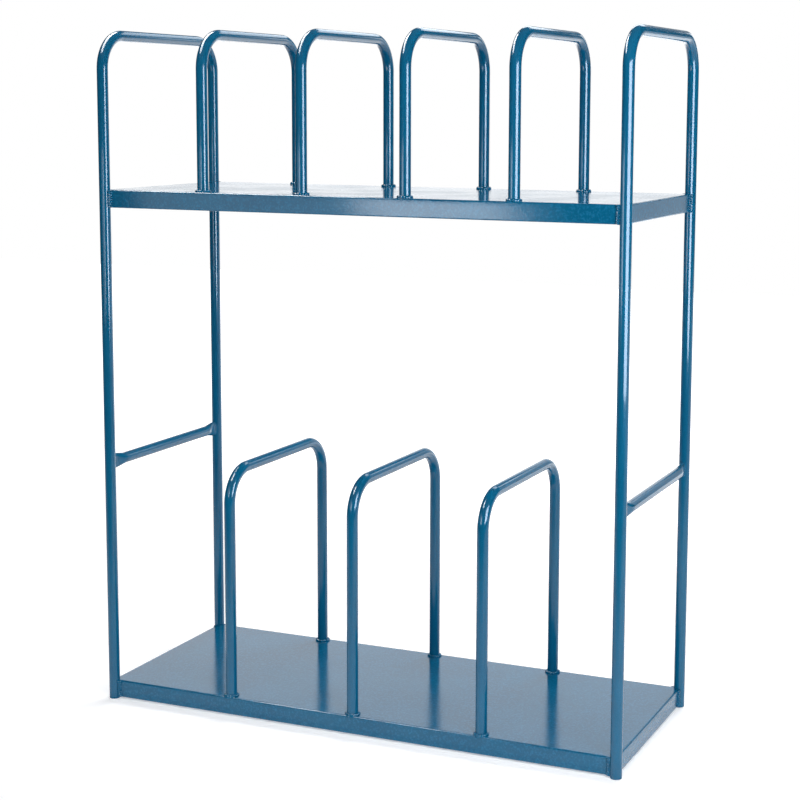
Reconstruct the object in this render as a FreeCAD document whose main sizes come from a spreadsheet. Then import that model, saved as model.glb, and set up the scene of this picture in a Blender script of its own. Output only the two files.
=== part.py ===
import FreeCAD, Part
import math
import os
import Sketcher

# A two-tier divider rack, welded from bent round tube and folded sheet steel. Two
# full-height hoops are the ends of the rack and their legs are its four posts. Two
# shelf pans are welded between the hoops, and smaller hoops stand on the shelves as
# dividers. The origin is on the floor under the centre of the rack: X runs along its
# width, Y from front to back and Z up. Lengths are in millimetres.

DRIVING_DIMENSIONS = [
    ("rack_width", 1250.0, "outside of the left end hoop to outside of the right one"),
    ("rack_depth", 500.0, "front of the front posts to back of the rear posts"),
    ("rack_height", 1540.0, "floor to the top of the end hoops"),
    ("tube_diameter", 25.0, "outside of every tube"),
    ("tube_wall", 1.5, "wall of every tube"),
    ("bend_radius", 75.0, "centre line of every bend in a hoop"),
    ("upper_shelf_top", 1184.0, "floor to the upper shelf's surface"),
    ("lower_shelf_top", 44.0, "floor to the lower shelf's surface"),
    ("shelf_flange", 40.0, "height of a shelf's turned-down edge"),
    ("shelf_sheet", 2.0, "thickness of a shelf's sheet"),
    ("shelf_fold", 3.5, "outer radius of the fold along a shelf's edges"),
    ("shelf_overhang", 2.0, "shelf's edge beyond the centre lines of the posts"),
    ("shelf_lip", 15.0, "width of the lip turned in under a shelf's flange"),
    ("brace_height", 560.0, "floor to the centre line of a brace"),
    ("brace_flat_height", 34.5, "height of a brace's flattened end"),
    ("brace_flat_width", 9.0, "thickness of a brace's flattened end"),
    ("brace_flat_length", 46.0, "length over which a brace's end is flattened"),
    ("lower_divider_top", 560.0, "floor to the centre line of a lower divider's top"),
    ("upper_divider_inset", 18.0, "upper dividers' legs inside the posts' centre lines"),
    ("lower_divider_inset", 13.0, "lower dividers' legs inside the posts' centre lines"),
    ("foot_rim", 3.0, "thickness of the plug's rim under a post"),
    ("foot_stem", 14.0, "length of the plug inside a post"),
    ("foot_round", 1.5, "rounded edge of the plug's rim"),
    ("weld_leg", 4.0, "leg of every fillet weld"),
    ("cope_depth", 3.0, "brace's raw end past the near side of the post"),
    ("stiffener_crown", 50.0, "width of a stiffener's crown"),
    ("stiffener_rim", 16.0, "width of each rim that is welded to the shelf"),
    ("stiffener_depth", 24.0, "depth of a stiffener's section"),
    ("stiffener_sheet", 1.5, "thickness of a stiffener's sheet"),
    ("stiffener_gap", 6.0, "each end of a stiffener to the shelf's flange"),
]

UPPER_DIVIDERS = 4
LOWER_DIVIDERS = 3

# Sizes and places that several sub-parts share, as expressions on the sheet.
TUBE_RADIUS = "(dims.tube_diameter / 2)"
POST_X = "((dims.rack_width - dims.tube_diameter) / 2)"
POST_Y = "((dims.rack_depth - dims.tube_diameter) / 2)"
TOP_Z = "(dims.rack_height - dims.tube_diameter / 2)"
SHELF_HALF_X = f"({POST_X} + dims.shelf_overhang)"
SHELF_HALF_Y = f"({POST_Y} + dims.shelf_overhang)"
BRACE_FACE_Y = f"({POST_Y} - {TUBE_RADIUS})"

SIDES = {"left": -1, "right": 1}
ENDS = {"front": -1, "rear": 1}

# Sketcher's numbers for a sketch's origin and axes, and for a curve's points.
ROOT_POINT = (-1, 1)
HORIZONTAL_AXIS = -1
VERTICAL_AXIS = -2
START = 1
END = 2
CENTRE = 3

# Turns a section drawn on XY so that it stands across Y with its long axis upright.
ACROSS_Y = FreeCAD.Rotation(FreeCAD.Vector(1, 1, 1), -120)

doc = FreeCAD.newDocument("divider_rack")
subparts = []


def write_sheet():
    """Put the driving dimensions in a spreadsheet, one alias to a row."""
    sheet = doc.addObject("Spreadsheet::Sheet", "dims")
    for row, (alias, value, meaning) in enumerate(DRIVING_DIMENSIONS, start=1):
        sheet.set(f"A{row}", meaning)
        sheet.set(f"B{row}", str(value))
        sheet.setAlias(f"B{row}", alias)
    doc.recompute()


def bind(target, **expressions):
    """Bind properties to expressions; a double underscore stands for a dot."""
    for name, expression in expressions.items():
        target.setExpression(name.replace("__", "."), expression)


def place(target, x="0", y="0", z="0"):
    """Bind an object's position."""
    bind(target, Placement__Base__x=x, Placement__Base__y=y, Placement__Base__z=z)


def add_subpart(target, label):
    """Name a finished sub-part and keep it for the export."""
    target.Label = label
    subparts.append(target)
    return target


# ---------------------------------------------------------------- sketch helpers

def add_sketch(body, role, name):
    """Start a sketch on one of the body's own origin planes."""
    plane = next(item for item in body.Origin.OriginFeatures if item.Role == role)
    sketch = body.newObject("Sketcher::SketchObject", name)
    sketch.AttachmentSupport = [(plane, "")]
    sketch.MapMode = "FlatFace"
    return sketch


def constrain(sketch, kind, *references):
    """Add a geometric constraint."""
    return sketch.addConstraint(Sketcher.Constraint(kind, *references))


def measure(sketch, kind, references, value, expression):
    """Add a dimension that starts at a value and is bound to an expression."""
    index = constrain(sketch, kind, *references, value)
    sketch.setExpression(f"Constraints[{index}]", expression)


def add_circle(sketch, x, y, radius_expression, x_expression, y_expression):
    """Draw a circle whose centre lies at bound distances from the origin."""
    centre = FreeCAD.Vector(x, y, 0)
    circle = sketch.addGeometry(Part.Circle(centre, FreeCAD.Vector(0, 0, 1), 10), False)
    measure(sketch, "Radius", (circle,), 10, radius_expression)
    pin_point(sketch, (circle, CENTRE), x, y, x_expression, y_expression)
    return circle


def pin_point(sketch, point, x, y, x_expression, y_expression):
    """Hold a point at bound distances from the sketch's origin."""
    if x == 0 and y == 0:
        constrain(sketch, "Coincident", *point, *ROOT_POINT)
        return
    if x == 0:
        constrain(sketch, "PointOnObject", *point, VERTICAL_AXIS)
    else:
        measure(sketch, "DistanceX", (*ROOT_POINT, *point), x, x_expression)
    if y == 0:
        constrain(sketch, "PointOnObject", *point, HORIZONTAL_AXIS)
    else:
        measure(sketch, "DistanceY", (*ROOT_POINT, *point), y, y_expression)


def add_rectangle(sketch, half_x, half_y, x_expression, y_expression):
    """Draw a rectangle centred on the origin, from its bound half sizes."""
    corners = [(-1, -1), (1, -1), (1, 1), (-1, 1)]
    points = [FreeCAD.Vector(half_x * i, half_y * j, 0) for i, j in corners]
    lines = []
    for start, end in zip(points, points[1:] + points[:1]):
        lines.append(sketch.addGeometry(Part.LineSegment(start, end), False))
    for line, following in zip(lines, lines[1:] + lines[:1]):
        constrain(sketch, "Coincident", line, END, following, START)
    for line, direction in zip(lines, ["Horizontal", "Vertical"] * 2):
        constrain(sketch, direction, line)
    constrain(sketch, "Symmetric", lines[0], START, lines[1], END, *ROOT_POINT)
    measure(sketch, "DistanceX", (lines[0], START, lines[0], END), 2 * half_x,
            f"2 * {x_expression}")
    measure(sketch, "DistanceY", (lines[1], START, lines[1], END), 2 * half_y,
            f"2 * {y_expression}")


def add_pad(body, sketch, length_expression):
    """Extrude a sketch along its normal."""
    pad = body.newObject("PartDesign::Pad", "Pad")
    pad.Profile = sketch
    bind(pad, Length=length_expression)
    sketch.Visibility = False
    return pad


def add_pocket(body, sketch, depth_expression):
    """Cut upwards from a sketch, and make sure that it removed material."""
    doc.recompute()
    before = body.Shape.Volume
    pocket = body.newObject("PartDesign::Pocket", "Pocket")
    pocket.Profile = sketch
    pocket.Reversed = True
    bind(pocket, Length=depth_expression)
    doc.recompute()
    if body.Shape.Volume >= before:
        raise RuntimeError(f"{body.Name}: the pocket {sketch.Name} cut nothing")
    return pocket


# ---------------------------------------------------------------------- the hoops

def draw_hoop_path(sketch, span, rise, radius, span_expression, rise_expression):
    """Draw a hoop's centre line: a leg, a bend, the top, a bend and a leg."""
    half = span / 2
    shoulder = rise - radius
    normal = FreeCAD.Vector(0, 0, 1)

    def line(start, end):
        segment = Part.LineSegment(FreeCAD.Vector(*start, 0), FreeCAD.Vector(*end, 0))
        return sketch.addGeometry(segment, False)

    def bend(centre_x, first, last):
        circle = Part.Circle(FreeCAD.Vector(centre_x, shoulder, 0), normal, radius)
        return sketch.addGeometry(Part.ArcOfCircle(circle, first, last), False)

    near_leg = line((-half, 0), (-half, shoulder))
    near_bend = bend(radius - half, math.pi / 2, math.pi)
    top = line((radius - half, rise), (half - radius, rise))
    far_bend = bend(half - radius, 0, math.pi / 2)
    far_leg = line((half, shoulder), (half, 0))

    constrain(sketch, "Tangent", near_leg, END, near_bend, END)
    constrain(sketch, "Tangent", near_bend, START, top, START)
    constrain(sketch, "Tangent", top, END, far_bend, END)
    constrain(sketch, "Tangent", far_bend, START, far_leg, START)
    constrain(sketch, "Vertical", near_leg)
    constrain(sketch, "Vertical", far_leg)
    constrain(sketch, "Horizontal", top)
    constrain(sketch, "PointOnObject", near_leg, START, HORIZONTAL_AXIS)
    constrain(sketch, "Symmetric", near_leg, START, far_leg, END, VERTICAL_AXIS)
    constrain(sketch, "Equal", near_bend, far_bend)
    measure(sketch, "Radius", (near_bend,), radius, "dims.bend_radius")
    measure(sketch, "DistanceX", (near_leg, START, far_leg, END), span, span_expression)
    measure(sketch, "DistanceY", (near_leg, START, top, START), rise, rise_expression)


def make_hoop(label, half_span, rise):
    """Bend one tube into an inverted U whose feet are at the body's own Z of 0."""
    body = doc.addObject("PartDesign::Body", label)
    path = add_sketch(body, "YZ_Plane", "Path")
    draw_hoop_path(path, 400, 600, 75, f"2 * {half_span}", rise)
    section = add_sketch(body, "XY_Plane", "Section")
    for radius in (TUBE_RADIUS, f"{TUBE_RADIUS} - dims.tube_wall"):
        add_circle(section, 0, -200, radius, "0", f"-{half_span}")
    doc.recompute()
    pipe = body.newObject("PartDesign::AdditivePipe", "Bent_tube")
    pipe.Profile = section
    pipe.Spine = path
    path.Visibility = False
    section.Visibility = False
    return add_subpart(body, label)


def make_end_hoops():
    """Full-height hoops whose legs are the rack's posts."""
    for side, sign in SIDES.items():
        hoop = make_hoop(f"{side}_end_hoop", POST_Y, f"{TOP_Z} - dims.foot_rim")
        place(hoop, x=f"{sign} * {POST_X}", z="dims.foot_rim")


def divider_places():
    """Label and bound places of every divider, evenly spaced between the posts."""
    counts = {"upper": UPPER_DIVIDERS, "lower": LOWER_DIVIDERS}
    tops = {"upper": TOP_Z, "lower": "dims.lower_divider_top"}
    for level, count in counts.items():
        for number in range(1, count + 1):
            yield {
                "label": f"{level}_divider_{number}",
                "x": f"(2 * {number} / {count + 1} - 1) * {POST_X}",
                "leg_y": f"({POST_Y} - dims.{level}_divider_inset)",
                "foot_z": f"dims.{level}_shelf_top",
                "top_z": tops[level],
            }


def make_dividers():
    """Hoops that stand on the shelves and keep what is stored there apart."""
    for spot in divider_places():
        rise = f"{spot['top_z']} - {spot['foot_z']}"
        hoop = make_hoop(spot["label"], spot["leg_y"], rise)
        place(hoop, x=spot["x"], z=spot["foot_z"])


# ----------------------------------------------------------------------- the feet

def make_feet():
    """A turned plug closes each post: a rim on the floor and a stem in the bore."""
    for end, end_sign in ENDS.items():
        for side, side_sign in SIDES.items():
            label = f"{end}_{side}_foot"
            body = doc.addObject("PartDesign::Body", label)
            rim = add_sketch(body, "XY_Plane", "Rim")
            add_circle(rim, 0, 0, TUBE_RADIUS, "0", "0")
            add_pad(body, rim, "dims.foot_rim")
            stem = add_sketch(body, "XY_Plane", "Stem")
            add_circle(stem, 0, 0, f"{TUBE_RADIUS} - dims.tube_wall", "0", "0")
            add_pad(body, stem, "dims.foot_rim + dims.foot_stem")
            doc.recompute()
            round_edges(body, "dims.foot_round", lambda edge: edge.BoundBox.ZMax < 0.001)
            place(body, x=f"{side_sign} * {POST_X}", y=f"{end_sign} * {POST_Y}")
            add_subpart(body, label)


def round_edges(body, radius_expression, chosen):
    """Fillet the edges of a body's last feature that a test chooses."""
    base = body.Tip
    names = []
    for number, edge in enumerate(base.Shape.Edges, start=1):
        if chosen(edge):
            names.append(f"Edge{number}")
    fillet = body.newObject("PartDesign::Fillet", "Round")
    fillet.Base = (base, names)
    bind(fillet, Radius=radius_expression)
    doc.recompute()
    return fillet


# -------------------------------------------------------------------- the shelves

def make_shelf(level, shelf_top):
    """A pan: flat top, turned-down flanges with a lip, corners coped to the posts."""
    body = doc.addObject("PartDesign::Body", f"{level}_shelf")
    outline = add_sketch(body, "XY_Plane", "Outline")
    add_rectangle(outline, 600, 200, SHELF_HALF_X, SHELF_HALF_Y)
    block = add_pad(body, outline, "dims.shelf_flange")
    doc.recompute()
    top = block.Shape.BoundBox.ZMax
    round_edges(body, "dims.shelf_fold", lambda edge: edge.BoundBox.ZMin > top - 0.001)

    inside = add_sketch(body, "XY_Plane", "Inside")
    bind(inside, AttachmentOffset__Base__z="dims.shelf_sheet")
    add_rectangle(inside, 590, 190, f"({SHELF_HALF_X} - dims.shelf_sheet)",
                  f"({SHELF_HALF_Y} - dims.shelf_sheet)")
    add_pocket(body, inside, "dims.shelf_flange - 2 * dims.shelf_sheet")

    mouth = add_sketch(body, "XY_Plane", "Mouth")
    add_rectangle(mouth, 580, 180, f"({SHELF_HALF_X} - dims.shelf_lip)",
                  f"({SHELF_HALF_Y} - dims.shelf_lip)")
    add_pocket(body, mouth, "2 * dims.shelf_sheet")

    copes = add_sketch(body, "XY_Plane", "Copes")
    for end_sign in ENDS.values():
        for side_sign in SIDES.values():
            add_circle(copes, 600 * side_sign, 200 * end_sign, TUBE_RADIUS,
                       f"{side_sign} * {POST_X}", f"{end_sign} * {POST_Y}")
    add_pocket(body, copes, "dims.shelf_flange")

    place(body, z=f"{shelf_top} - dims.shelf_flange")
    return add_subpart(body, f"{level}_shelf")


def draw_hat(sketch):
    """Draw a hat section with its two rims on the sketch's horizontal axis."""
    crown = 25
    brim = crown + 16
    depth = 24
    sheet = 1.5
    outer = [(-brim, 0), (-brim, -sheet), (-crown, -sheet), (-crown, -depth),
             (crown, -depth), (crown, -sheet), (brim, -sheet), (brim, 0)]
    inner = [(crown - sheet, 0), (crown - sheet, sheet - depth),
             (sheet - crown, sheet - depth), (sheet - crown, 0)]
    points = [FreeCAD.Vector(x, y, 0) for x, y in outer + inner]
    lines = []
    for start, end in zip(points, points[1:] + points[:1]):
        lines.append(sketch.addGeometry(Part.LineSegment(start, end), False))
    for line, following in zip(lines, lines[1:] + lines[:1]):
        constrain(sketch, "Coincident", line, END, following, START)
    for number, line in enumerate(lines):
        constrain(sketch, "Horizontal" if number % 2 else "Vertical", line)
    left_edge, left_brim, left_web, crown_line, _, right_brim, right_edge = lines[:7]
    right_rim, _, crown_inside, _, left_rim = lines[7:]
    constrain(sketch, "Symmetric", left_edge, START, right_edge, END, *ROOT_POINT)
    constrain(sketch, "PointOnObject", left_rim, START, HORIZONTAL_AXIS)
    constrain(sketch, "Equal", left_edge, right_edge)
    constrain(sketch, "Equal", left_brim, right_brim)
    constrain(sketch, "Equal", left_rim, right_rim)
    sheet_size = "dims.stiffener_sheet"
    measure(sketch, "DistanceX", (crown_line, START, crown_line, END), 2 * crown,
            "dims.stiffener_crown")
    measure(sketch, "DistanceX", (right_brim, START, right_brim, END), brim - crown,
            "dims.stiffener_rim")
    measure(sketch, "DistanceY", (left_web, END, *ROOT_POINT), depth,
            "dims.stiffener_depth")
    measure(sketch, "DistanceY", (left_edge, END, left_edge, START), sheet, sheet_size)
    measure(sketch, "DistanceY", (crown_line, END, crown_inside, START), sheet,
            sheet_size)
    measure(sketch, "DistanceX", (crown_inside, START, crown_line, END), sheet,
            sheet_size)


def make_stiffener(level, shelf_top):
    """A hat channel under the middle of a shelf, from flange to flange."""
    body = doc.addObject("PartDesign::Body", f"{level}_shelf_stiffener")
    section = add_sketch(body, "YZ_Plane", "Section")
    draw_hat(section)
    length = f"2 * ({SHELF_HALF_X} - dims.shelf_sheet - dims.stiffener_gap)"
    pad = add_pad(body, section, length)
    pad.Midplane = True
    place(body, z=f"{shelf_top} - dims.shelf_sheet")
    return add_subpart(body, f"{level}_shelf_stiffener")


# --------------------------------------------------------------------- the braces

def add_section(name, y, half_height, half_width):
    """An ellipse that stands across Y at a bound place, with its long axis upright."""
    section = doc.addObject("Part::Ellipse", name)
    section.Placement = FreeCAD.Placement(FreeCAD.Vector(0, 0, 0), ACROSS_Y)
    bind(section, MajorRadius=half_height, MinorRadius=half_width)
    bind(section, Placement__Base__y=y)
    section.Visibility = False
    return section


def add_loft(name, sections):
    """A solid with straight sides through a row of sections."""
    loft = doc.addObject("Part::Loft", name)
    loft.Sections = sections
    loft.Solid = True
    loft.Ruled = True
    return loft


def add_brace_skin(name, inset):
    """A tube whose ends are flattened, smaller all round by an inset."""
    flat_y = f"({BRACE_FACE_Y} + dims.cope_depth)"
    round_y = f"({BRACE_FACE_Y} - dims.brace_flat_length)"
    flat = (f"dims.brace_flat_height / 2 - {inset}", f"dims.brace_flat_width / 2 - {inset}")
    full = (f"{TUBE_RADIUS} - {inset}", f"{TUBE_RADIUS} - {inset}")
    row = [(f"-{flat_y}", flat), (f"-{round_y}", full), (round_y, full), (flat_y, flat)]
    sections = []
    for number, (y, half_sizes) in enumerate(row):
        sections.append(add_section(f"{name}_section_{number}", y, *half_sizes))
    return add_loft(name, sections)


def add_post_pair(name, height):
    """Two upright cylinders where the front and rear posts stand, about Z of 0."""
    posts = []
    for end, sign in ENDS.items():
        post = doc.addObject("Part::Cylinder", f"{name}_{end}")
        bind(post, Radius=TUBE_RADIUS, Height=height)
        place(post, y=f"{sign} * {POST_Y}", z=f"-({height}) / 2")
        posts.append(post)
    pair = doc.addObject("Part::MultiFuse", name)
    pair.Shapes = posts
    return pair


def add_cut(name, base, tool):
    """Take one solid away from another."""
    cut = doc.addObject("Part::Cut", name)
    cut.Base = base
    cut.Tool = tool
    return cut


def add_group(name, members):
    """Keep several solids together as one sub-part."""
    group = doc.addObject("Part::Compound", name)
    group.Links = members
    return group


def make_brace(side, sign):
    """A tube between the front and rear posts, its flattened ends coped to them."""
    label = f"{side}_brace"
    outside = add_brace_skin(f"{label}_outside", "0")
    bore = add_brace_skin(f"{label}_bore", "dims.tube_wall")
    tube = add_cut(f"{label}_tube", outside, bore)
    posts = add_post_pair(f"{label}_posts", "2 * dims.brace_flat_height")
    brace = add_cut(label, tube, posts)
    place(brace, x=f"{sign} * {POST_X}", z="dims.brace_height")
    add_subpart(brace, label)

    beads = []
    for end, end_sign in ENDS.items():
        name = f"{label}_{end}_weld"
        toe = add_section(f"{name}_toe", f"{end_sign} * ({BRACE_FACE_Y} - dims.weld_leg)",
                          "dims.brace_flat_height / 2", "dims.brace_flat_width / 2")
        root = add_section(f"{name}_root", f"{end_sign} * ({BRACE_FACE_Y} + dims.cope_depth)",
                           "dims.brace_flat_height / 2 + dims.weld_leg",
                           "dims.brace_flat_width / 2 + dims.weld_leg")
        collar = add_loft(f"{name}_collar", [toe, root])
        ring = add_cut(f"{name}_ring", collar, outside)
        beads.append(add_cut(name, ring, posts))
    welds = add_group(f"{label}_welds", beads)
    place(welds, x=f"{sign} * {POST_X}", z="dims.brace_height")
    add_subpart(welds, f"{label}_welds")


# ---------------------------------------------------------------------- the welds

def make_divider_welds():
    """A fillet weld all round each foot of each divider."""
    for spot in divider_places():
        label = f"{spot['label']}_welds"
        rings = []
        for end, sign in ENDS.items():
            name = f"{label}_{end}"
            fillet = doc.addObject("Part::Cone", f"{name}_fillet")
            bind(fillet, Radius1=f"{TUBE_RADIUS} + dims.weld_leg", Radius2=TUBE_RADIUS,
                 Height="dims.weld_leg")
            tube = doc.addObject("Part::Cylinder", f"{name}_tube")
            bind(tube, Radius=TUBE_RADIUS, Height="dims.weld_leg")
            ring = add_cut(name, fillet, tube)
            place(ring, y=f"{sign} * {spot['leg_y']}")
            rings.append(ring)
        welds = add_group(label, rings)
        place(welds, x=spot["x"], z=spot["foot_z"])
        add_subpart(welds, label)


def make_shelf_welds(level, shelf_top):
    """Upright welds where a shelf's flanges meet the posts, two to each post."""
    bead_height = "(dims.shelf_flange - dims.shelf_fold)"
    reach = f"sqrt({TUBE_RADIUS} ^ 2 - dims.shelf_overhang ^ 2)"
    for side, side_sign in SIDES.items():
        label = f"{level}_shelf_{side}_welds"
        block = doc.addObject("Part::Box", f"{label}_shelf")
        bind(block, Length=f"2 * {SHELF_HALF_X}", Width=f"2 * {SHELF_HALF_Y}",
             Height="dims.shelf_flange")
        place(block, x=f"-{side_sign} * {POST_X} - {SHELF_HALF_X}", y=f"-{SHELF_HALF_Y}")
        posts = add_post_pair(f"{label}_posts", "4 * dims.shelf_flange")
        neighbours = doc.addObject("Part::MultiFuse", f"{label}_neighbours")
        neighbours.Shapes = [block, posts]
        beads = []
        for end, end_sign in ENDS.items():
            corners = {
                "face": (f"-{side_sign} * {reach}", f"{end_sign} * {SHELF_HALF_Y}"),
                "side": (f"{side_sign} * dims.shelf_overhang",
                         f"{end_sign} * ({POST_Y} - {reach})"),
            }
            for corner, (x, y) in corners.items():
                name = f"{label}_{end}_{corner}"
                rod = doc.addObject("Part::Cylinder", f"{name}_rod")
                bind(rod, Radius="dims.weld_leg", Height=bead_height)
                place(rod, x=x, y=y)
                beads.append(add_cut(name, rod, neighbours))
        welds = add_group(label, beads)
        place(welds, x=f"{side_sign} * {POST_X}", z=f"{shelf_top} - dims.shelf_flange")
        add_subpart(welds, label)


# ------------------------------------------------------------ build, check, export

def check_model():
    """Stop if any object failed or any sub-part is not a valid shape."""
    for item in doc.Objects:
        if "Invalid" in item.State or "Error" in item.State:
            raise RuntimeError(f"{item.Label} did not compute: {item.State}")
    for item in subparts:
        if item.Shape.isNull() or not item.Shape.isValid() or not item.Shape.Solids:
            raise RuntimeError(f"{item.Label} is not a valid solid")


def export_subparts():
    """Write each sub-part to the file that has its name."""
    os.makedirs("parts", exist_ok=True)
    for item in subparts:
        item.Shape.exportStep(f"parts/{item.Label}.step")
        box = item.Shape.BoundBox
        print(f"{item.Label}: {len(item.Shape.Solids)} solids, "
              f"{item.Shape.Volume:.0f} mm3, z {box.ZMin:.1f} to {box.ZMax:.1f}")


write_sheet()
make_end_hoops()
make_feet()
for shelf_level in ("upper", "lower"):
    surface = f"dims.{shelf_level}_shelf_top"
    make_shelf(shelf_level, surface)
    make_stiffener(shelf_level, surface)
    make_shelf_welds(shelf_level, surface)
for brace_side, brace_sign in SIDES.items():
    make_brace(brace_side, brace_sign)
make_dividers()
make_divider_welds()
doc.recompute()
check_model()
export_subparts()
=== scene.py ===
import math
import random

import bpy
from mathutils import Matrix, Vector


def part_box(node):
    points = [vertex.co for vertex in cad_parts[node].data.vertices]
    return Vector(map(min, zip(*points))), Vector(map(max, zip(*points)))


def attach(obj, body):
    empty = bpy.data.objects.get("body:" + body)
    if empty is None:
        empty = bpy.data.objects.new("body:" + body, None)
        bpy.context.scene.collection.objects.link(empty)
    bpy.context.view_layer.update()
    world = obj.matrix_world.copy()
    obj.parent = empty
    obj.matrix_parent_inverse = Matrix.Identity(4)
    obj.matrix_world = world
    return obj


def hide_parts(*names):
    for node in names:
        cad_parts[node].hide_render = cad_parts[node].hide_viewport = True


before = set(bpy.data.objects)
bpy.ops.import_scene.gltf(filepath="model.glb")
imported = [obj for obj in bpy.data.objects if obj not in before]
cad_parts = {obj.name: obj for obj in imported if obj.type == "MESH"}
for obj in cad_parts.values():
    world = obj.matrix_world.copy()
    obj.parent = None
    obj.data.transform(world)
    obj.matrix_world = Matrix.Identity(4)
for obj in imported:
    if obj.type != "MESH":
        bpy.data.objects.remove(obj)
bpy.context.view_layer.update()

# A welded divider rack in blue gloss enamel. Every tube, shelf and weld is built here
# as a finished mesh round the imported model, whose boxes give the sizes and places.
# Lengths are in metres; X is the rack's width, Y its depth (front is -Y), Z is up.

MILLIMETRE = 0.001

# ------------------------------------------------------------- sizes from the frame

hoop_low, hoop_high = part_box("right_end_hoop")
upper_low, upper_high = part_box("upper_shelf")
lower_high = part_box("lower_shelf")[1]
foot_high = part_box("front_right_foot")[1]

TUBE_RADIUS = (hoop_high.x - hoop_low.x) / 2
POST_X = (hoop_high.x + hoop_low.x) / 2
POST_Y = hoop_high.y - TUBE_RADIUS
SHELF_HALF = Vector((upper_high.x, upper_high.y))
SHELF_OVERHANG = upper_high.y - POST_Y
FLANGE = upper_high.z - upper_low.z
FOOT_RIM = hoop_low.z

# Sizes that a box doesn't show; they repeat the CAD model's driving dimensions.
BEND_RADIUS = 75 * MILLIMETRE
TUBE_WALL = 1.5 * MILLIMETRE
SHEET = 2 * MILLIMETRE
FOLD_RADIUS = 3.5 * MILLIMETRE
SHELF_LIP = 15 * MILLIMETRE
BRACE_FLAT_LENGTH = 46 * MILLIMETRE
BRACE_FLAT_HEIGHT = 34.5 * MILLIMETRE
BRACE_FLAT_WIDTH = 9 * MILLIMETRE
BRACE_FLAT_CORNER = 9 * MILLIMETRE
WELD_LEG = 4 * MILLIMETRE

SIDES = {"left": -1, "right": 1}
ENDS = {"front": -1, "rear": 1}
DIVIDERS = [f"upper_divider_{n}" for n in range(1, 5)]
DIVIDERS += [f"lower_divider_{n}" for n in range(1, 4)]

RING = 48
BEND_STEPS = 20
BEND_SQUASH = 0.07
CREASE_ANGLE = math.radians(35)

chance = random.Random(7)


# ---------------------------------------------------------------------- node helpers

class Shader:
    """A node tree with short calls for adding nodes and joining them."""

    def __init__(self, tree):
        self.tree = tree
        tree.nodes.clear()

    def node(self, kind, **settings):
        made = self.tree.nodes.new(kind)
        for name, value in settings.items():
            setattr(made, name, value)
        return made

    def join(self, source, target):
        self.tree.links.new(source, target)

    def noise(self, place, scale, detail=2.0, roughness=0.5):
        made = self.node("ShaderNodeTexNoise")
        made.inputs["Scale"].default_value = scale
        made.inputs["Detail"].default_value = detail
        made.inputs["Roughness"].default_value = roughness
        self.join(place, made.inputs["Vector"])
        return made.outputs["Fac"]

    def span(self, value, low, high, from_low=0.0, from_high=1.0):
        made = self.node("ShaderNodeMapRange", interpolation_type="SMOOTHSTEP")
        self.join(value, made.inputs["Value"])
        made.inputs["From Min"].default_value = from_low
        made.inputs["From Max"].default_value = from_high
        made.inputs["To Min"].default_value = low
        made.inputs["To Max"].default_value = high
        return made.outputs["Result"]

    def mix(self, factor, first, second):
        made = self.node("ShaderNodeMix", data_type="RGBA")
        self.join(factor, made.inputs["Factor"])
        for socket, colour in ((made.inputs["A"], first), (made.inputs["B"], second)):
            if isinstance(colour, tuple):
                socket.default_value = (*colour, 1)
            else:
                self.join(colour, socket)
        return made.outputs["Result"]

    def math(self, operation, first, second):
        made = self.node("ShaderNodeMath", operation=operation)
        for socket, value in zip(made.inputs, (first, second)):
            if isinstance(value, (int, float)):
                socket.default_value = value
            else:
                self.join(value, socket)
        return made.outputs["Value"]

    def bump(self, height, distance, strength, normal=None):
        made = self.node("ShaderNodeBump")
        made.inputs["Strength"].default_value = strength
        made.inputs["Distance"].default_value = distance
        self.join(height, made.inputs["Height"])
        if normal is not None:
            self.join(normal, made.inputs["Normal"])
        return made.outputs["Normal"]


BLUE = (0.0009, 0.108, 0.218)
DEEP_BLUE = (0.0007, 0.094, 0.196)
ENAMEL_IOR = 1.47
PEEL_SCALE = 260.0


def enamel(name, grain_scale, grain_depth, peel_depth, roughness):
    """Blue gloss enamel: drifting colour, orange peel, fine grain and uneven gloss.

    The scales are per metre and the depths in metres; a depth of 0 leaves it smooth.
    """
    material = bpy.data.materials.new(name)
    material.use_nodes = True
    shader = Shader(material.node_tree)
    output = shader.node("ShaderNodeOutputMaterial")
    surface = shader.node("ShaderNodeBsdfPrincipled")
    shader.join(surface.outputs["BSDF"], output.inputs["Surface"])
    place = shader.node("ShaderNodeTexCoord").outputs["Object"]

    drift = shader.span(shader.noise(place, 6.0, 3.0), 0.0, 1.0, 0.35, 0.65)
    speck = shader.span(shader.noise(place, grain_scale, 2.0, 0.6), 0.0, 0.6, 0.45, 0.70)
    tone = shader.mix(drift, BLUE, DEEP_BLUE)
    lighter = tuple(channel * 1.5 + 0.01 for channel in BLUE)
    shader.join(shader.mix(speck, tone, lighter), surface.inputs["Base Color"])

    smear = shader.noise(place, 9.0, 1.0)
    low, high = roughness
    shader.join(shader.span(smear, low, high, 0.3, 0.7), surface.inputs["Roughness"])

    if grain_depth > 0:
        peel = shader.bump(shader.noise(place, PEEL_SCALE, 1.0), peel_depth, 0.35)
        grain = shader.bump(shader.noise(place, grain_scale, 2.0, 0.6), grain_depth, 0.5, peel)
        shader.join(grain, surface.inputs["Normal"])
    surface.inputs["IOR"].default_value = ENAMEL_IOR
    return material


TUBE_ENAMEL = enamel("tube_enamel", 1400.0, 0.0, 0.0, (0.11, 0.15))
SHEET_ENAMEL = enamel("sheet_enamel", 240.0, 0.0003, 0.00006, (0.11, 0.15))
WELD_ENAMEL = enamel("weld_enamel", 700.0, 0.00005, 0.0006, (0.07, 0.12))


# ---------------------------------------------------------------------- mesh helpers

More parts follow.
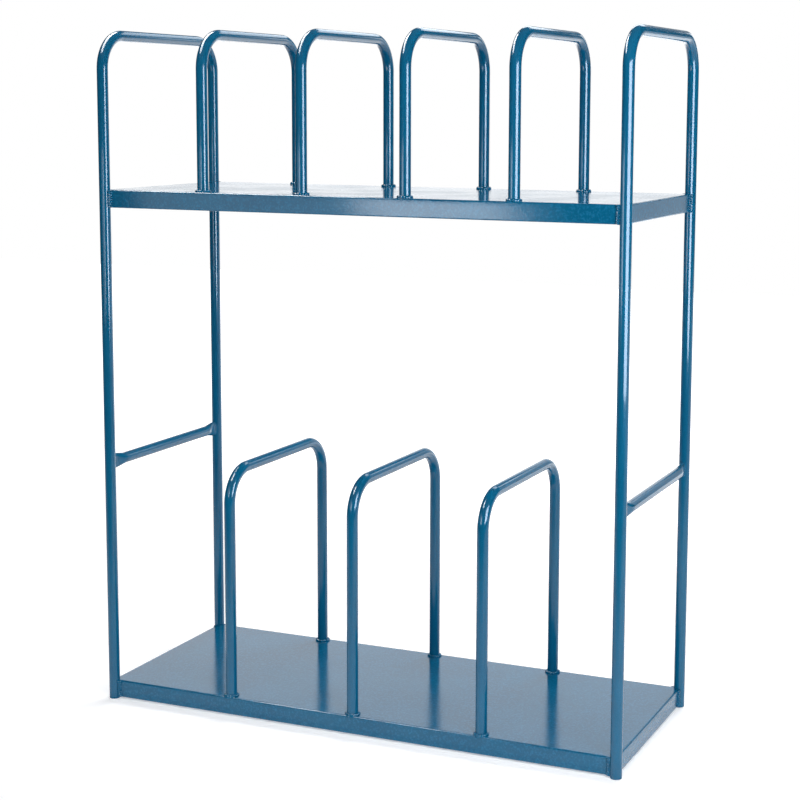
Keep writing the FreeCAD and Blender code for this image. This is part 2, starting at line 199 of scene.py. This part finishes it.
def skin(rings, closed=False):
    """Faces over a row of equal rings; an open row gets a cap at each end."""
    count = len(rings[0])
    corners = [point for ring in rings for point in ring]
    faces = []
    steps = len(rings) if closed else len(rings) - 1
    for row in range(steps):
        start = row * count
        following = (row + 1) % len(rings) * count
        for step in range(count):
            turn = (step + 1) % count
            faces.append((start + step, start + turn, following + turn, following + step))
    if not closed:
        faces.append(tuple(reversed(range(count))))
        faces.append(tuple(range((len(rings) - 1) * count, len(rings) * count)))
    return corners, faces


def add_piece(name, parts, material, node):
    """Make one mesh from closed parts, ride it on the rack and stand it for a node."""
    corners = []
    faces = []
    for part_corners, part_faces in parts:
        first = len(corners)
        corners += part_corners
        faces += [tuple(first + index for index in face) for face in part_faces]
    mesh = bpy.data.meshes.new(name)
    mesh.from_pydata(corners, [], faces)
    mesh.validate()
    mesh.update()
    piece = bpy.data.objects.new(name, mesh)
    bpy.context.scene.collection.objects.link(piece)
    mesh.materials.append(material)
    bpy.context.view_layer.objects.active = piece
    piece.select_set(True)
    bpy.ops.object.mode_set(mode="EDIT")
    bpy.ops.mesh.select_all(action="SELECT")
    bpy.ops.mesh.normals_make_consistent(inside=False)
    bpy.ops.object.mode_set(mode="OBJECT")
    bpy.ops.object.shade_smooth_by_angle(angle=CREASE_ANGLE)
    piece.select_set(False)
    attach(piece, "root")
    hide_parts(node)


def smooth(value):
    """Ease from 0 to 1."""
    value = min(1.0, max(0.0, value))
    return value * value * (3 - 2 * value)


# ----------------------------------------------------------------------------- tubes

def tube_ring(x, y, z, turn, radius, squash=0.0):
    """A ring across a tube that runs in the YZ plane, pressed flat inside a bend."""
    across = Vector((0, math.cos(turn), -math.sin(turn)))
    ring = []
    for step in range(RING):
        angle = math.tau * step / RING
        side = math.sin(angle)
        flat = 1 - squash * max(0.0, -side)
        ring.append(Vector((x, y, z)) + Vector((radius * math.cos(angle), 0, 0))
                    + across * radius * side * flat)
    return ring


def hoop_rings(x, half_span, foot, top, radius):
    """Rings up a leg, round a bend, along the top, round a bend and down a leg."""
    shoulder = top - BEND_RADIUS
    rings = []
    edge = 0.6 * MILLIMETRE
    rings.append(tube_ring(x, -half_span, foot, 0, radius - edge))
    leg_steps = 6
    for step in range(leg_steps + 1):
        z = foot + edge + (shoulder - foot - edge) * step / leg_steps
        rings.append(tube_ring(x, -half_span, z, 0, radius))
    for step in range(1, BEND_STEPS + 1):
        turn = math.pi / 2 * step / BEND_STEPS
        squash = BEND_SQUASH * math.sin(2 * turn)
        y = -half_span + BEND_RADIUS * (1 - math.cos(turn))
        z = shoulder + BEND_RADIUS * math.sin(turn)
        rings.append(tube_ring(x, y, z, turn, radius, squash))
    mirrored = []
    for ring in reversed(rings):
        mirrored.append([Vector((p.x, -p.y, p.z)) for p in ring])
    return rings + mirrored


def build_hoops():
    names = [f"{side}_end_hoop" for side in SIDES] + DIVIDERS
    for node in names:
        low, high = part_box(node)
        x = (low.x + high.x) / 2
        rings = hoop_rings(x, high.y - TUBE_RADIUS, low.z, high.z - TUBE_RADIUS, TUBE_RADIUS)
        add_piece(f"{node}_tube", [skin(rings)], TUBE_ENAMEL, node)


def lathe(x, y, outline):
    """A turned solid about an upright axis from (radius, height) pairs."""
    rings = []
    for radius, z in outline:
        ring = []
        for step in range(RING):
            angle = math.tau * step / RING
            ring.append(Vector((x + radius * math.cos(angle), y + radius * math.sin(angle), z)))
        rings.append(ring)
    return skin(rings)


def build_feet():
    """A plug in each post: a rim with a rounded edge and a stem in the bore."""
    rounding = 1.5 * MILLIMETRE
    bore = TUBE_RADIUS - TUBE_WALL
    outline = []
    for step in range(7):
        turn = math.pi / 2 * step / 6
        outline.append((TUBE_RADIUS - rounding + rounding * math.sin(turn),
                        rounding * (1 - math.cos(turn))))
    shoulder = 0.4 * MILLIMETRE
    outline.append((TUBE_RADIUS, FOOT_RIM - shoulder))
    outline.append((TUBE_RADIUS - shoulder, FOOT_RIM))
    outline.append((bore, FOOT_RIM))
    outline.append((bore, foot_high.z))
    for end, end_sign in ENDS.items():
        for side, side_sign in SIDES.items():
            node = f"{end}_{side}_foot"
            plug = lathe(side_sign * POST_X, end_sign * POST_Y, outline)
            add_piece(f"{node}_plug", [plug], TUBE_ENAMEL, node)


# ---------------------------------------------------------------------------- braces

def brace_ring(x, y, z, half_width, half_height, squareness, coped):
    """A rounded section across the brace; a coped ring lies on the post's wall."""
    ring = []
    for step in range(RING):
        angle = math.tau * step / RING
        c = math.cos(angle)
        s = math.sin(angle)
        across = math.copysign(abs(c) ** (2 / squareness), c) * half_width
        up = math.copysign(abs(s) ** (2 / squareness), s) * half_height
        reach = y
        if coped:
            reach = math.copysign(POST_Y - math.sqrt(TUBE_RADIUS ** 2 - across ** 2), y)
        ring.append(Vector((x + across, reach, z + up)))
    return ring


def brace_half(x, z, sign):
    """Rings from the middle of a brace to the end that is welded to a post."""
    face = POST_Y - TUBE_RADIUS
    corner = BRACE_FLAT_CORNER
    rings = []
    steps = 30
    for step in range(steps + 1):
        travel = step / steps
        left = BRACE_FLAT_LENGTH * (1 - travel)
        ease = smooth(travel * 1.12)
        half_width = TUBE_RADIUS + (BRACE_FLAT_WIDTH / 2 - TUBE_RADIUS) * ease
        half_height = TUBE_RADIUS + (BRACE_FLAT_HEIGHT / 2 - TUBE_RADIUS) * ease
        if left < corner:
            half_height -= corner - math.sqrt(corner ** 2 - (corner - left) ** 2)
            half_height = max(half_height, BRACE_FLAT_HEIGHT / 2 - corner)
        squareness = 2 + 0.9 * ease
        y = sign * (face - left)
        rings.append(brace_ring(x, y, z, half_width, half_height, squareness, step == steps))
    return rings


def build_braces():
    for side, sign in SIDES.items():
        node = f"{side}_brace"
        low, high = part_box(node)
        z = (low.z + high.z) / 2
        x = sign * POST_X
        rings = list(reversed(brace_half(x, z, -1))) + brace_half(x, z, 1)
        add_piece(f"{node}_tube", [skin(rings)], TUBE_ENAMEL, node)


# ---------------------------------------------------------------------------- shelves

def cope_corner(inset, cope_radius, side_sign, end_sign, count=13):
    """Points round one corner: a hollow round the post, or a small plain corner."""
    post = Vector((POST_X, POST_Y))
    half = SHELF_HALF - Vector((inset, inset))
    gap = half - post
    points = []
    if gap.x ** 2 + gap.y ** 2 < cope_radius ** 2 and abs(gap.x) < cope_radius:
        start = math.atan2(gap.y, -math.sqrt(cope_radius ** 2 - gap.y ** 2))
        end = math.atan2(-math.sqrt(cope_radius ** 2 - gap.x ** 2), gap.x)
        start %= math.tau
        end %= math.tau
        for step in range(count):
            angle = start + (end - start) * step / (count - 1)
            points.append(post + cope_radius * Vector((math.cos(angle), math.sin(angle))))
    else:
        rounding = 3 * MILLIMETRE
        centre = half - Vector((rounding, rounding))
        for step in range(count):
            angle = math.pi / 2 * (1 - step / (count - 1))
            points.append(centre + rounding * Vector((math.cos(angle), math.sin(angle))))
    return [Vector((p.x * side_sign, p.y * end_sign)) for p in points]


def shelf_ring(inset, z, cope_radius):
    """The shelf's outline in plan at one place on the folded sheet's section."""
    ring = []
    for side_sign, end_sign in ((1, 1), (1, -1), (-1, -1), (-1, 1)):
        corner = cope_corner(inset, cope_radius, side_sign, end_sign)
        if side_sign * end_sign < 0:
            corner.reverse()
        ring += [Vector((p.x, p.y, z)) for p in corner]
    return ring


def shelf_section():
    """(inset, height, cope) round the folded sheet, from the top to the underside."""
    outer = TUBE_RADIUS
    inner = TUBE_RADIUS + SHEET
    lip_round = 2.6 * MILLIMETRE
    edge = 0.5 * MILLIMETRE
    arc_steps = 6
    section = []
    for step in range(arc_steps + 1):
        turn = math.pi / 2 * step / arc_steps
        section.append((FOLD_RADIUS * (1 - math.sin(turn)),
                        -FOLD_RADIUS * (1 - math.cos(turn)), outer))
    for step in range(arc_steps + 1):
        turn = math.pi / 2 * step / arc_steps
        section.append((lip_round * (1 - math.cos(turn)),
                        -FLANGE + lip_round * (1 - math.sin(turn)), outer))
    section.append((SHELF_LIP - edge, -FLANGE, outer))
    section.append((SHELF_LIP, -FLANGE + edge, outer))
    section.append((SHELF_LIP, -FLANGE + SHEET - edge, outer))
    section.append((SHELF_LIP - edge, -FLANGE + SHEET, outer))
    small = lip_round - SHEET
    for step in range(arc_steps, -1, -1):
        turn = math.pi / 2 * step / arc_steps
        section.append((SHEET + small * (1 - math.cos(turn)),
                        -FLANGE + SHEET + small * (1 - math.sin(turn)), inner))
    small = FOLD_RADIUS - SHEET
    for step in range(arc_steps, -1, -1):
        turn = math.pi / 2 * step / arc_steps
        section.append((SHEET + small * (1 - math.sin(turn)),
                        -SHEET - small * (1 - math.cos(turn)), inner))
    return section


def build_shelves():
    for node, top in (("upper_shelf", upper_high.z), ("lower_shelf", lower_high.z)):
        rings = [shelf_ring(inset, top + z, cope) for inset, z, cope in shelf_section()]
        add_piece(f"{node}_pan", [skin(rings)], SHEET_ENAMEL, node)
        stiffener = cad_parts[f"{node}_stiffener"]
        stiffener.data.materials.clear()
        stiffener.data.materials.append(SHEET_ENAMEL)


# ----------------------------------------------------------------------------- welds

def drop_sizes(count):
    """Sizes of the overlapping drops of a weld, each a little different."""
    return [1 + chance.uniform(-0.12, 0.12) for _ in range(count)]


def drop_size(sizes, travel, wrap):
    """How far a weld stands out at a place along it, from 0 to 1."""
    count = len(sizes)
    place = travel * count
    index = min(int(place), count - 1)
    part = place - index
    following = sizes[(index + 1) % count] if wrap else sizes[min(index + 1, count - 1)]
    size = sizes[index] * (1 - part) + following * part
    dome = math.sqrt(max(0.0, 1 - (1.6 * part - 0.8) ** 2))
    return size * (0.46 + 0.54 * dome)


def weld_section(leg_out, leg_up):
    """A convex fillet from its root to both toes, as (out, up) pairs."""
    sink = 0.5 * MILLIMETRE
    points = [(-sink, -sink)]
    steps = 7
    for step in range(steps + 1):
        turn = math.pi / 2 * step / steps
        bulge = 1 + 0.15 * math.sin(2 * turn)
        points.append((leg_out * math.cos(turn) * bulge, leg_up * math.sin(turn) * bulge))
    points.append((-sink, leg_up * 0.9))
    return points


def foot_weld(x, y, z, edge_y, sign):
    """A ring of drops round a divider's foot, draped over the shelf's fold."""
    count = 11
    sizes = drop_sizes(count)
    slices = count * 12
    rings = []
    start = chance.random()
    for number in range(slices):
        travel = number / slices
        size = drop_size(sizes, (travel + start) % 1.0, True)
        angle = math.tau * travel
        outward = Vector((math.cos(angle), math.sin(angle), 0))
        ring = []
        for out, up in weld_section(WELD_LEG * 1.25 * size, WELD_LEG * 1.3 * size):
            point = Vector((x, y, z)) + outward * (TUBE_RADIUS + out)
            past = sign * point.y - (sign * edge_y - FOLD_RADIUS)
            if past > 0:
                past = min(past, FOLD_RADIUS)
                up -= FOLD_RADIUS - math.sqrt(FOLD_RADIUS ** 2 - past ** 2)
            point.z += up
            ring.append(point)
        rings.append(ring)
    return skin(rings, closed=True)


def build_divider_welds():
    for divider in DIVIDERS:
        low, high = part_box(divider)
        x = (low.x + high.x) / 2
        parts = []
        for sign in ENDS.values():
            y = sign * (high.y - TUBE_RADIUS)
            parts.append(foot_weld(x, y, low.z, sign * SHELF_HALF.y, sign))
        node = f"{divider}_welds"
        add_piece(f"{node}_beads", parts, WELD_ENAMEL, node)


def upright_weld(corner, along, away, low, high):
    """A rippled bead up the corner between a flange and a post."""
    count = 8
    sizes = drop_sizes(count)
    slices = count * 10
    slant = 1.2 * MILLIMETRE
    leg_along = 8.0 * MILLIMETRE
    leg_away = 5.0 * MILLIMETRE
    rings = []
    for number in range(slices + 1):
        travel = number / slices
        size = drop_size(sizes, travel, False)
        end_gap = min(travel, 1 - travel)
        size *= 0.35 + 0.65 * math.sqrt(min(1.0, end_gap / 0.05))
        size *= 1 + 0.18 * smooth(1 - end_gap / 0.2)
        z = low + (high - low) * travel
        ring = []
        for out, up in weld_section(leg_along * size, leg_away * size):
            point = corner + along * out + away * up
            lean = slant * (out / leg_along - 0.5) * min(1.0, end_gap / 0.1)
            ring.append(Vector((point.x, point.y, z + lean)))
        rings.append(ring)
    return skin(rings)


def build_shelf_welds():
    reach = math.sqrt(TUBE_RADIUS ** 2 - SHELF_OVERHANG ** 2)
    run_out = 0.8 * MILLIMETRE
    for level, top in (("upper", upper_high.z), ("lower", lower_high.z)):
        for side, side_sign in SIDES.items():
            parts = []
            for end_sign in ENDS.values():
                post = Vector((side_sign * POST_X, end_sign * POST_Y))
                for from_post, along, away in (
                    (Vector((-side_sign * reach, end_sign * SHELF_OVERHANG)),
                     Vector((-side_sign, 0)), Vector((0, end_sign))),
                    (Vector((side_sign * SHELF_OVERHANG, -end_sign * reach)),
                     Vector((0, -end_sign)), Vector((side_sign, 0))),
                ):
                    spoke = from_post.normalized()
                    tangent = (away - spoke * away.dot(spoke)).normalized()
                    parts.append(upright_weld(post + from_post, along, tangent,
                                              top - FLANGE - run_out, top + run_out))
            node = f"{level}_shelf_{side}_welds"
            add_piece(f"{node}_beads", parts, WELD_ENAMEL, node)


def brace_weld(x, z, sign):
    """A bead round a brace's flattened end, heavy at its top and bottom."""
    count = 12
    sizes = drop_sizes(count)
    slices = count * 12
    half_width = BRACE_FLAT_WIDTH / 2
    half_height = BRACE_FLAT_HEIGHT / 2 - BRACE_FLAT_CORNER * 0.55
    rings = []
    for number in range(slices):
        travel = number / slices
        angle = math.tau * travel
        c = math.cos(angle)
        s = math.sin(angle)
        heavy = 0.45 + 0.75 * abs(s) ** 3
        size = drop_size(sizes, travel, True) * heavy
        base = Vector((half_width * c, half_height * s))
        outward = Vector((c, s))
        ring = []
        for out, up in weld_section(WELD_LEG * size, WELD_LEG * 1.1 * size):
            place = base + outward * out
            across = max(-TUBE_RADIUS, min(TUBE_RADIUS, place.x))
            wall = POST_Y - math.sqrt(TUBE_RADIUS ** 2 - across ** 2)
            ring.append(Vector((x + place.x, sign * (wall - up), z + place.y)))
        rings.append(ring)
    return skin(rings, closed=True)


def build_brace_welds():
    for side, side_sign in SIDES.items():
        low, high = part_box(f"{side}_brace")
        z = (low.z + high.z) / 2
        parts = [brace_weld(side_sign * POST_X, z, sign) for sign in ENDS.values()]
        node = f"{side}_brace_welds"
        add_piece(f"{node}_beads", parts, WELD_ENAMEL, node)


# ----------------------------------------------------------------- stage and lighting

CAMERA_PLACE = (1.6471, -3.5410, 1.3791)
CAMERA_YAW = 22.823
CAMERA_PITCH = -7.392
CAMERA_ROLL = 0.341
CAMERA_LENS = 78.27
CAMERA_SHIFT = (-0.075, -0.0875)
SENSOR_WIDTH = 36
FLOOR_REACH = 9.0


def add_camera():
    """The camera, square to the picture but for a small shift."""
    lens = bpy.data.cameras.new("camera")
    lens.lens = CAMERA_LENS
    lens.sensor_width = SENSOR_WIDTH
    lens.shift_x, lens.shift_y = CAMERA_SHIFT
    camera = bpy.data.objects.new("camera", lens)
    bpy.context.scene.collection.objects.link(camera)
    turn = Matrix.Rotation(math.radians(CAMERA_YAW), 4, "Z")
    tilt = Matrix.Rotation(math.radians(90 + CAMERA_PITCH), 4, "X")
    roll = Matrix.Rotation(math.radians(CAMERA_ROLL), 4, "Z")
    camera.matrix_world = Matrix.Translation(CAMERA_PLACE) @ turn @ tilt @ roll
    bpy.context.scene.camera = camera


def add_floor():
    """A wide pale floor that glows with painted light, brightest round and behind the rack, and
    fades out in front.
    """
    reach = FLOOR_REACH
    corners = [(-reach, -reach, 0), (reach, -reach, 0), (reach, reach, 0), (-reach, reach, 0)]
    mesh = bpy.data.meshes.new("floor")
    mesh.from_pydata(corners, [], [(0, 1, 2, 3)])
    floor = bpy.data.objects.new("floor", mesh)
    bpy.context.scene.collection.objects.link(floor)
    material = bpy.data.materials.new("pale_floor")
    material.use_nodes = True
    shader = Shader(material.node_tree)
    output = shader.node("ShaderNodeOutputMaterial")
    surface = shader.node("ShaderNodeBsdfPrincipled")
    shader.join(surface.outputs["BSDF"], output.inputs["Surface"])
    axes = shader.node("ShaderNodeSeparateXYZ")
    shader.join(shader.node("ShaderNodeTexCoord").outputs["Object"], axes.inputs[0])
    # Painted light: the floor glows faintly far in front, more at the rack and most behind it,
    # so it stays white where the lamps fall off.
    glow = shader.span(axes.outputs["Y"], 0.02, 0.42, -2.2, -0.7)
    rear_glow = shader.span(axes.outputs["Y"], 0.0, 0.9, 0.5, 4.5)
    shader.join(shader.math("ADD", glow, rear_glow), surface.inputs["Emission Strength"])
    # The floor's colour is darker towards the front, where it also fades out.
    pale = shader.span(axes.outputs["Y"], 0.0, 1.0, -3.6, -0.9)
    paper = shader.mix(pale, (0.34, 0.34, 0.35), (0.80, 0.80, 0.81))
    shader.join(paper, surface.inputs["Base Color"])
    fade = shader.span(axes.outputs["Y"], 0.0, 1.0, -2.1, -0.75)
    shader.join(fade, surface.inputs["Alpha"])
    surface.inputs["Roughness"].default_value = 0.8
    surface.inputs["Specular IOR Level"].default_value = 0.0
    surface.inputs["Emission Color"].default_value = (1, 1, 1, 1)
    mesh.materials.append(material)


def add_lamp(name, size, energy, tint=(1.0, 1.0, 1.0)):
    """A rectangular area lamp that the camera doesn't see."""
    light = bpy.data.lights.new(name, "AREA")
    light.shape = "RECTANGLE"
    light.size, light.size_y = size
    light.energy = energy
    light.color = tint
    lamp = bpy.data.objects.new(name, light)
    bpy.context.scene.collection.objects.link(lamp)
    lamp.visible_camera = False
    return lamp


def softbox_energy(size, radiance):
    """The power that gives an area lamp a radiance, seen in the gloss."""
    return 4 * radiance * size[0] * size[1]


def add_softbox(name, left, right, low, high, radiance, tint=(1.0, 1.0, 1.0)):
    """An upright softbox between two places on the floor plan, seen only in the gloss."""
    start = Vector((*left, low))
    end = Vector((*right, low))
    size = ((end - start).length, high - low)
    lamp = add_lamp(name, size, softbox_energy(size, radiance), tint)
    lamp.location = (start + end) / 2 + Vector((0, 0, size[1] / 2))
    facing = (end - start).cross(Vector((0, 0, 1)))
    if facing.dot(lamp.location) > 0:
        facing.negate()
    lamp.rotation_euler = facing.to_track_quat("-Z", "Y").to_euler()
    lamp.visible_diffuse = False


def add_ceiling_softbox(place, size, radiance):
    """A level softbox overhead that glints on the bends and on the welds."""
    lamp = add_lamp("ceiling_softbox", size, softbox_energy(size, radiance))
    lamp.location = place
    lamp.visible_diffuse = False


def add_fill(name, place, size, power):
    """A large soft lamp that lights the rack without showing in its gloss."""
    lamp = add_lamp(name, size, power)
    lamp.location = place
    aim = Vector((0, 0, 0.7)) - Vector(place)
    lamp.rotation_euler = aim.to_track_quat("-Z", "Y").to_euler()
    lamp.visible_glossy = False


def add_room():
    """A white backdrop behind the rack in a dim studio, with an even soft light."""
    world = bpy.data.worlds.new("studio")
    bpy.context.scene.world = world
    world.use_nodes = True
    shader = Shader(world.node_tree)
    output = shader.node("ShaderNodeOutputWorld")
    direction = shader.node("ShaderNodeTexCoord").outputs["Generated"]
    behind = shader.node("ShaderNodeVectorMath", operation="DOT_PRODUCT")
    shader.join(direction, behind.inputs[0])
    yaw = math.radians(CAMERA_YAW)
    behind.inputs[1].default_value = (-math.sin(yaw), math.cos(yaw), 0)
    backdrop = shader.span(behind.outputs["Value"], 0.0, 1.0, 0.76, 0.97)
    axes = shader.node("ShaderNodeSeparateXYZ")
    shader.join(direction, axes.inputs[0])
    ceiling = shader.span(axes.outputs["Z"], 0.0, 0.3, 0.35, 0.9)
    glow = shader.math("MAXIMUM", backdrop, ceiling)
    gloss_tone = shader.mix(glow, (0.03, 0.032, 0.035), (0.40, 0.405, 0.41))
    path = shader.node("ShaderNodeLightPath")
    tone = shader.mix(path.outputs["Is Diffuse Ray"], gloss_tone, (0.20, 0.205, 0.21))
    room = shader.node("ShaderNodeBackground")
    shader.join(tone, room.inputs["Color"])
    sweep = shader.node("ShaderNodeBackground")
    far = shader.span(axes.outputs["Y"], 0.0, 1.0, -0.6, 0.3)
    shader.join(shader.mix(far, (0.68, 0.685, 0.69), (1.0, 1.0, 1.0)), sweep.inputs["Color"])
    choice = shader.node("ShaderNodeMixShader")
    shader.join(path.outputs["Is Camera Ray"], choice.inputs["Fac"])
    shader.join(room.outputs[0], choice.inputs[1])
    shader.join(sweep.outputs[0], choice.inputs[2])
    shader.join(choice.outputs[0], output.inputs["Surface"])
    bpy.context.scene.view_settings.view_transform = "Standard"


def add_lights():
    """Softboxes for the streaks in the gloss, and fills for the paint's own colour."""
    cool = (0.74, 0.86, 1.0)
    pale = (0.90, 0.95, 1.0)
    add_softbox("left_softbox", (-0.47, -1.226), (-0.157, -1.616), 0.80, 1.26, 6.0, pale)
    add_softbox("left_softbox_edge", (-0.86, -0.74), (-0.47, -1.226), 0.80, 1.26, 1.3, pale)
    add_softbox("right_softbox", (0.98, -0.92), (1.38, -0.34), 0.68, 1.66, 14.5, cool)
    add_softbox("rear_softbox", (-0.9, 2.2), (0.9, 2.2), 2.35, 3.2, 2.8, pale)
    add_softbox("rear_screen", (-2.6, 2.3), (0.8, 2.3), 0.0, 1.5, 0.70)
    add_softbox("rear_paper", (0.8, 2.3), (1.6, 2.3), 0.1, 1.5, 0.5, pale)
    add_softbox("rear_strip", (0.55, 2.3), (0.9, 2.3), 1.5, 2.05, 2.6, pale)
    add_ceiling_softbox((-1.4, -0.2, 3.0), (1.0, 2.6), 14.0)
    add_fill("front_fill", (1.9, -1.7, 1.6), (1.2, 1.2), 38)
    add_fill("high_fill", (0.2, -2.2, 3.3), (2.6, 1.4), 30)
    add_fill("rear_fill", (0.0, 2.6, 3.4), (2.6, 1.4), 110)


build_hoops()
build_feet()
build_braces()
build_shelves()
build_divider_welds()
build_shelf_welds()
build_brace_welds()
add_floor()
add_room()
add_lights()
add_camera()
